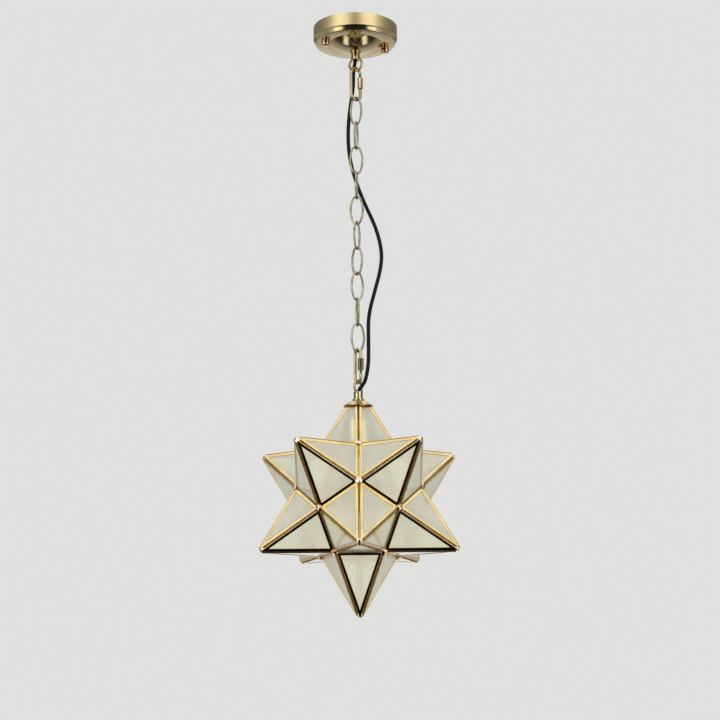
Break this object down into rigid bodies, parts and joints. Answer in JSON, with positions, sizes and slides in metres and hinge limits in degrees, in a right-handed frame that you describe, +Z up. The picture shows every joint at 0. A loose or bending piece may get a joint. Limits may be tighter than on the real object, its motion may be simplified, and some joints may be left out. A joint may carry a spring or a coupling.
{
  "type": "moravian star pendant",
  "caption": "Pendant light: a glazed brass star with many five-sided points hangs on a chain from a round canopy, its cord beside the chain and one point hinged for the bulb.",
  "frame": {"origin": "centre of the canopy's rim, in the plane of the ceiling", "axes": "+Z up into the ceiling; the lamp hangs down -Z; -Y is the front, towards the viewer of the picture; +X to the viewer's right"},
  "size_m": [0.2644, 0.277, 0.8305],
  "materials": {
    "polished_brass": "polished",
    "satin_brass": "satin, brushed round",
    "antique_brass": "aged brass came",
    "pale_brass": "pale plated",
    "copper_gold": "polished, rosy",
    "solder": "tinned solder, silvery rose",
    "zinc_steel": "zinc plated",
    "green_screw": "green grounding screw",
    "frosted_glass": "frosted",
    "bulb_glass": "white bulb",
    "porcelain": "glazed lampholder",
    "black_cord": "black sheath"
  },
  "bodies": {
    "canopy_assembly": {"ceiling_crossbar": "zinc_steel", "crossbar_ground_screw": "green_screw", "canopy_mounting_screws": "zinc_steel", "canopy": "satin_brass", "canopy_cap_nuts": "copper_gold", "canopy_nipple": "zinc_steel", "canopy_locknut": "zinc_steel", "canopy_loop": "polished_brass", "power_cord": "black_cord"},
    "upper_quick_link_body": {"upper_quick_link": "polished_brass"},
    "upper_sleeve_body": {"upper_quick_link_sleeve": "polished_brass"},
    "chain_link_01_body": {"chain_link_01": "pale_brass"},
    "chain_link_02_body": {"chain_link_02": "pale_brass"},
    "chain_link_03_body": {"chain_link_03": "pale_brass"},
    "chain_link_04_body": {"chain_link_04": "pale_brass"},
    "chain_link_05_body": {"chain_link_05": "pale_brass"},
    "chain_link_06_body": {"chain_link_06": "pale_brass"},
    "chain_link_07_body": {"chain_link_07": "pale_brass"},
    "chain_link_08_body": {"chain_link_08": "pale_brass"},
    "chain_link_09_body": {"chain_link_09": "pale_brass"},
    "chain_link_10_body": {"chain_link_10": "pale_brass"},
    "lower_quick_link_body": {"lower_quick_link": "polished_brass"},
    "lower_sleeve_body": {"lower_quick_link_sleeve": "polished_brass"},
    "star_body": {"star_loop": "polished_brass", "star_cap": "polished_brass", "cap_washer": "antique_brass", "star_nipple": "zinc_steel", "star_locknut": "zinc_steel", "socket_cup": "antique_brass", "lampholder": "porcelain", "bulb": "bulb_glass", "solder_joints": "solder", "hinge_fixed_leaf": "antique_brass", "hinge_pin": "antique_brass", "star_point_top_frame": "antique_brass", "star_point_top_glass": "frosted_glass", "star_point_upper_left_frame": "antique_brass", "star_point_upper_left_glass": "frosted_glass", "star_point_upper_front_left_frame": "antique_brass", "star_point_upper_front_left_glass": "frosted_glass", "star_point_upper_front_right_frame": "antique_brass", "star_point_upper_front_right_glass": "frosted_glass", "star_point_upper_right_frame": "antique_brass", "star_point_upper_right_glass": "frosted_glass", "star_point_lower_front_frame": "antique_brass", "star_point_lower_front_glass": "frosted_glass", "star_point_lower_right_frame": "antique_brass", "star_point_lower_right_glass": "frosted_glass", "star_point_lower_back_right_frame": "antique_brass", "star_point_lower_back_right_glass": "frosted_glass", "star_point_lower_back_left_frame": "antique_brass", "star_point_lower_back_left_glass": "frosted_glass", "star_point_lower_left_frame": "antique_brass", "star_point_lower_left_glass": "frosted_glass", "star_point_bottom_frame": "antique_brass", "star_point_bottom_glass": "frosted_glass"},
    "access_point_body": {"star_point_upper_back_frame": "antique_brass", "star_point_upper_back_glass": "frosted_glass", "hinge_door_leaf": "antique_brass", "door_catch": "antique_brass"}
  },
  "joints": [
    {"name": "upper_quick_link_swing", "type": "hinge", "parent": "canopy_assembly", "child": "upper_quick_link_body", "pos_m": [0, 0, -0.0638], "axis": [0.9135, -0.4067, 0], "range_deg": [-30, 30], "deforming": ["power_cord"]},
    {"name": "chain_link_01_swing", "type": "hinge", "parent": "upper_quick_link_body", "child": "chain_link_01_body", "pos_m": [0, 0, -0.1074], "axis": [0.8192, 0.5736, 0], "range_deg": [-15, 15], "deforming": ["power_cord"]},
    {"name": "chain_link_02_swing", "type": "hinge", "parent": "chain_link_01_body", "child": "chain_link_02_body", "pos_m": [0, 0, -0.14325], "axis": [0.8829, -0.4695, 0], "range_deg": [-8, 8], "deforming": ["power_cord"]},
    {"name": "chain_link_03_swing", "type": "hinge", "parent": "chain_link_02_body", "child": "chain_link_03_body", "pos_m": [0, 0, -0.17965], "axis": [0.2419, 0.9703, 0], "range_deg": [-8, 8], "deforming": ["power_cord"]},
    {"name": "chain_link_04_swing", "type": "hinge", "parent": "chain_link_03_body", "child": "chain_link_04_body", "pos_m": [0, 0, -0.21605], "axis": [0.9903, 0.1392, 0], "range_deg": [-8, 8], "deforming": ["power_cord"]},
    {"name": "chain_link_05_swing", "type": "hinge", "parent": "chain_link_04_body", "child": "chain_link_05_body", "pos_m": [0, 0, -0.25245], "axis": [0.1045, 0.9945, 0], "range_deg": [-8, 8], "deforming": ["power_cord"]},
    {"name": "chain_link_06_swing", "type": "hinge", "parent": "chain_link_05_body", "child": "chain_link_06_body", "pos_m": [0, 0, -0.28885], "axis": [0.9781, -0.2079, 0], "range_deg": [-8, 8], "deforming": ["power_cord"]},
    {"name": "chain_link_07_swing", "type": "hinge", "parent": "chain_link_06_body", "child": "chain_link_07_body", "pos_m": [0, 0, -0.32525], "axis": [0.4226, 0.9063, 0], "range_deg": [-8, 8], "deforming": ["power_cord"]},
    {"name": "chain_link_08_swing", "type": "hinge", "parent": "chain_link_07_body", "child": "chain_link_08_body", "pos_m": [0, 0, -0.36165], "axis": [0.7771, -0.6293, 0], "range_deg": [-8, 8], "deforming": ["power_cord"]},
    {"name": "chain_link_09_swing", "type": "hinge", "parent": "chain_link_08_body", "child": "chain_link_09_body", "pos_m": [0, 0, -0.39805], "axis": [0.8988, 0.4384, 0], "range_deg": [-8, 8], "deforming": ["power_cord"]},
    {"name": "chain_link_10_swing", "type": "hinge", "parent": "chain_link_09_body", "child": "chain_link_10_body", "pos_m": [0, 0, -0.43445], "axis": [0.1736, -0.9848, 0], "range_deg": [-8, 8], "deforming": ["power_cord"]},
    {"name": "lower_quick_link_swing", "type": "hinge", "parent": "chain_link_10_body", "child": "lower_quick_link_body", "pos_m": [0, 0, -0.47085], "axis": [0.9781, 0.2079, 0], "range_deg": [-10, 10], "deforming": ["power_cord"]},
    {"name": "star_swing", "type": "hinge", "parent": "lower_quick_link_body", "child": "star_body", "pos_m": [0, 0, -0.5148], "axis": [0.4848, -0.8746, 0], "range_deg": [-20, 20], "deforming": ["power_cord"]},
    {"name": "upper_sleeve_slide", "type": "slide", "parent": "upper_quick_link_body", "child": "upper_sleeve_body", "axis": [0, 0, -1], "range_m": [0, 0.0096]},
    {"name": "lower_sleeve_slide", "type": "slide", "parent": "lower_quick_link_body", "child": "lower_sleeve_body", "axis": [0, 0, -1], "range_m": [0, 0.0096]},
    {"name": "access_point_hinge", "type": "hinge", "parent": "star_body", "child": "access_point_body", "pos_m": [0, 0.04605, -0.60352], "axis": [1, 0, 0], "range_deg": [0, 95]}
  ]
}
